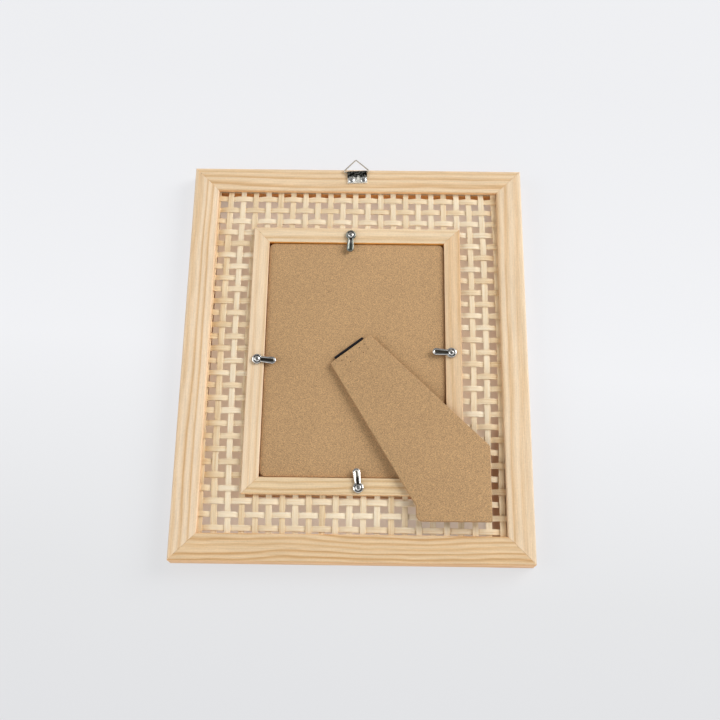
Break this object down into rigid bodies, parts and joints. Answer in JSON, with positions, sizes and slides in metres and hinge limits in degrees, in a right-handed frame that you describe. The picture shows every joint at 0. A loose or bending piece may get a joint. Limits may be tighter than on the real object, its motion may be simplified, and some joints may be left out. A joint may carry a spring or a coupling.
{
  "type": "wooden picture frame",
  "caption": "Wooden picture frame with a band of woven cane between its outer and inner frames, turn buttons that hold the back, a hinged strut and a hanging ring.",
  "frame": {"origin": "on the surface that the front rests on, under the middle of the whole outline with the hanging ring", "axes": "+X to the right seen from the back, +Y to the top of the frame, +Z out of its back"},
  "size_m": [0.25, 0.308, 0.0195],
  "materials": {
    "pine": "sanded pine with a thin clear coat",
    "cane": "smooth split cane, satin",
    "fibreboard": "bare fibreboard, matt with a fine speckle",
    "glass": "clear float glass",
    "card": "plain uncoated card",
    "plated_steel": "bright nickel plate",
    "nail_steel": "bare cut steel",
    "hinge_black": "black lacquer"
  },
  "bodies": {
    "frame": {"outer_rail_top": "pine", "outer_rail_bottom": "pine", "outer_rail_left": "pine", "outer_rail_right": "pine", "inner_rail_top": "pine", "inner_rail_bottom": "pine", "inner_rail_left": "pine", "inner_rail_right": "pine", "outer_corner_nails": "nail_steel", "inner_corner_nails": "nail_steel", "upright_strips_left": "cane", "upright_strips_right": "cane", "upright_strips_top": "cane", "upright_strips_bottom": "cane", "cross_strips_left": "cane", "cross_strips_right": "cane", "cross_strips_top": "cane", "cross_strips_bottom": "cane", "glass": "glass", "picture_card": "card", "backing_board": "fibreboard", "turn_button_screws": "plated_steel", "hinge_board_leaf": "hinge_black", "hinge_pin": "hinge_black", "hanger_plate": "plated_steel", "hanger_screws": "plated_steel"},
    "strut": {"strut": "fibreboard", "hinge_strut_leaf": "hinge_black"},
    "turn_button_top": {"turn_button_top": "plated_steel"},
    "turn_button_bottom": {"turn_button_bottom": "plated_steel"},
    "turn_button_left": {"turn_button_left": "plated_steel"},
    "turn_button_right": {"turn_button_right": "plated_steel"},
    "hanger_ring": {"hanger_ring": "plated_steel"}
  },
  "joints": [
    {"name": "strut_hinge", "type": "hinge", "parent": "frame", "child": "strut", "pos_m": [-0.00441, 0.00008, 0.01375], "axis": [-0.7859, -0.6184, 0], "range_deg": [0, 40]},
    {"name": "turn_button_top_turn", "type": "hinge", "parent": "frame", "child": "turn_button_top", "pos_m": [-0.0045, 0.09008, 0.01505], "axis": [0, 0, 1], "continuous": true},
    {"name": "turn_button_bottom_turn", "type": "hinge", "parent": "frame", "child": "turn_button_bottom", "pos_m": [0.0038, -0.10282, 0.01505], "axis": [0, 0, 1], "continuous": true},
    {"name": "turn_button_left_turn", "type": "hinge", "parent": "frame", "child": "turn_button_left", "pos_m": [-0.0705, -0.00952, 0.01505], "axis": [0, 0, 1], "continuous": true},
    {"name": "turn_button_right_turn", "type": "hinge", "parent": "frame", "child": "turn_button_right", "pos_m": [0.0698, -0.00302, 0.01505], "axis": [0, 0, 1], "continuous": true},
    {"name": "hanger_ring_swing", "type": "hinge", "parent": "frame", "child": "hanger_ring", "pos_m": [-0.0006, 0.14318, 0.01599], "axis": [0.9986, 0.0523, 0], "range_deg": [-12, 160]}
  ]
}
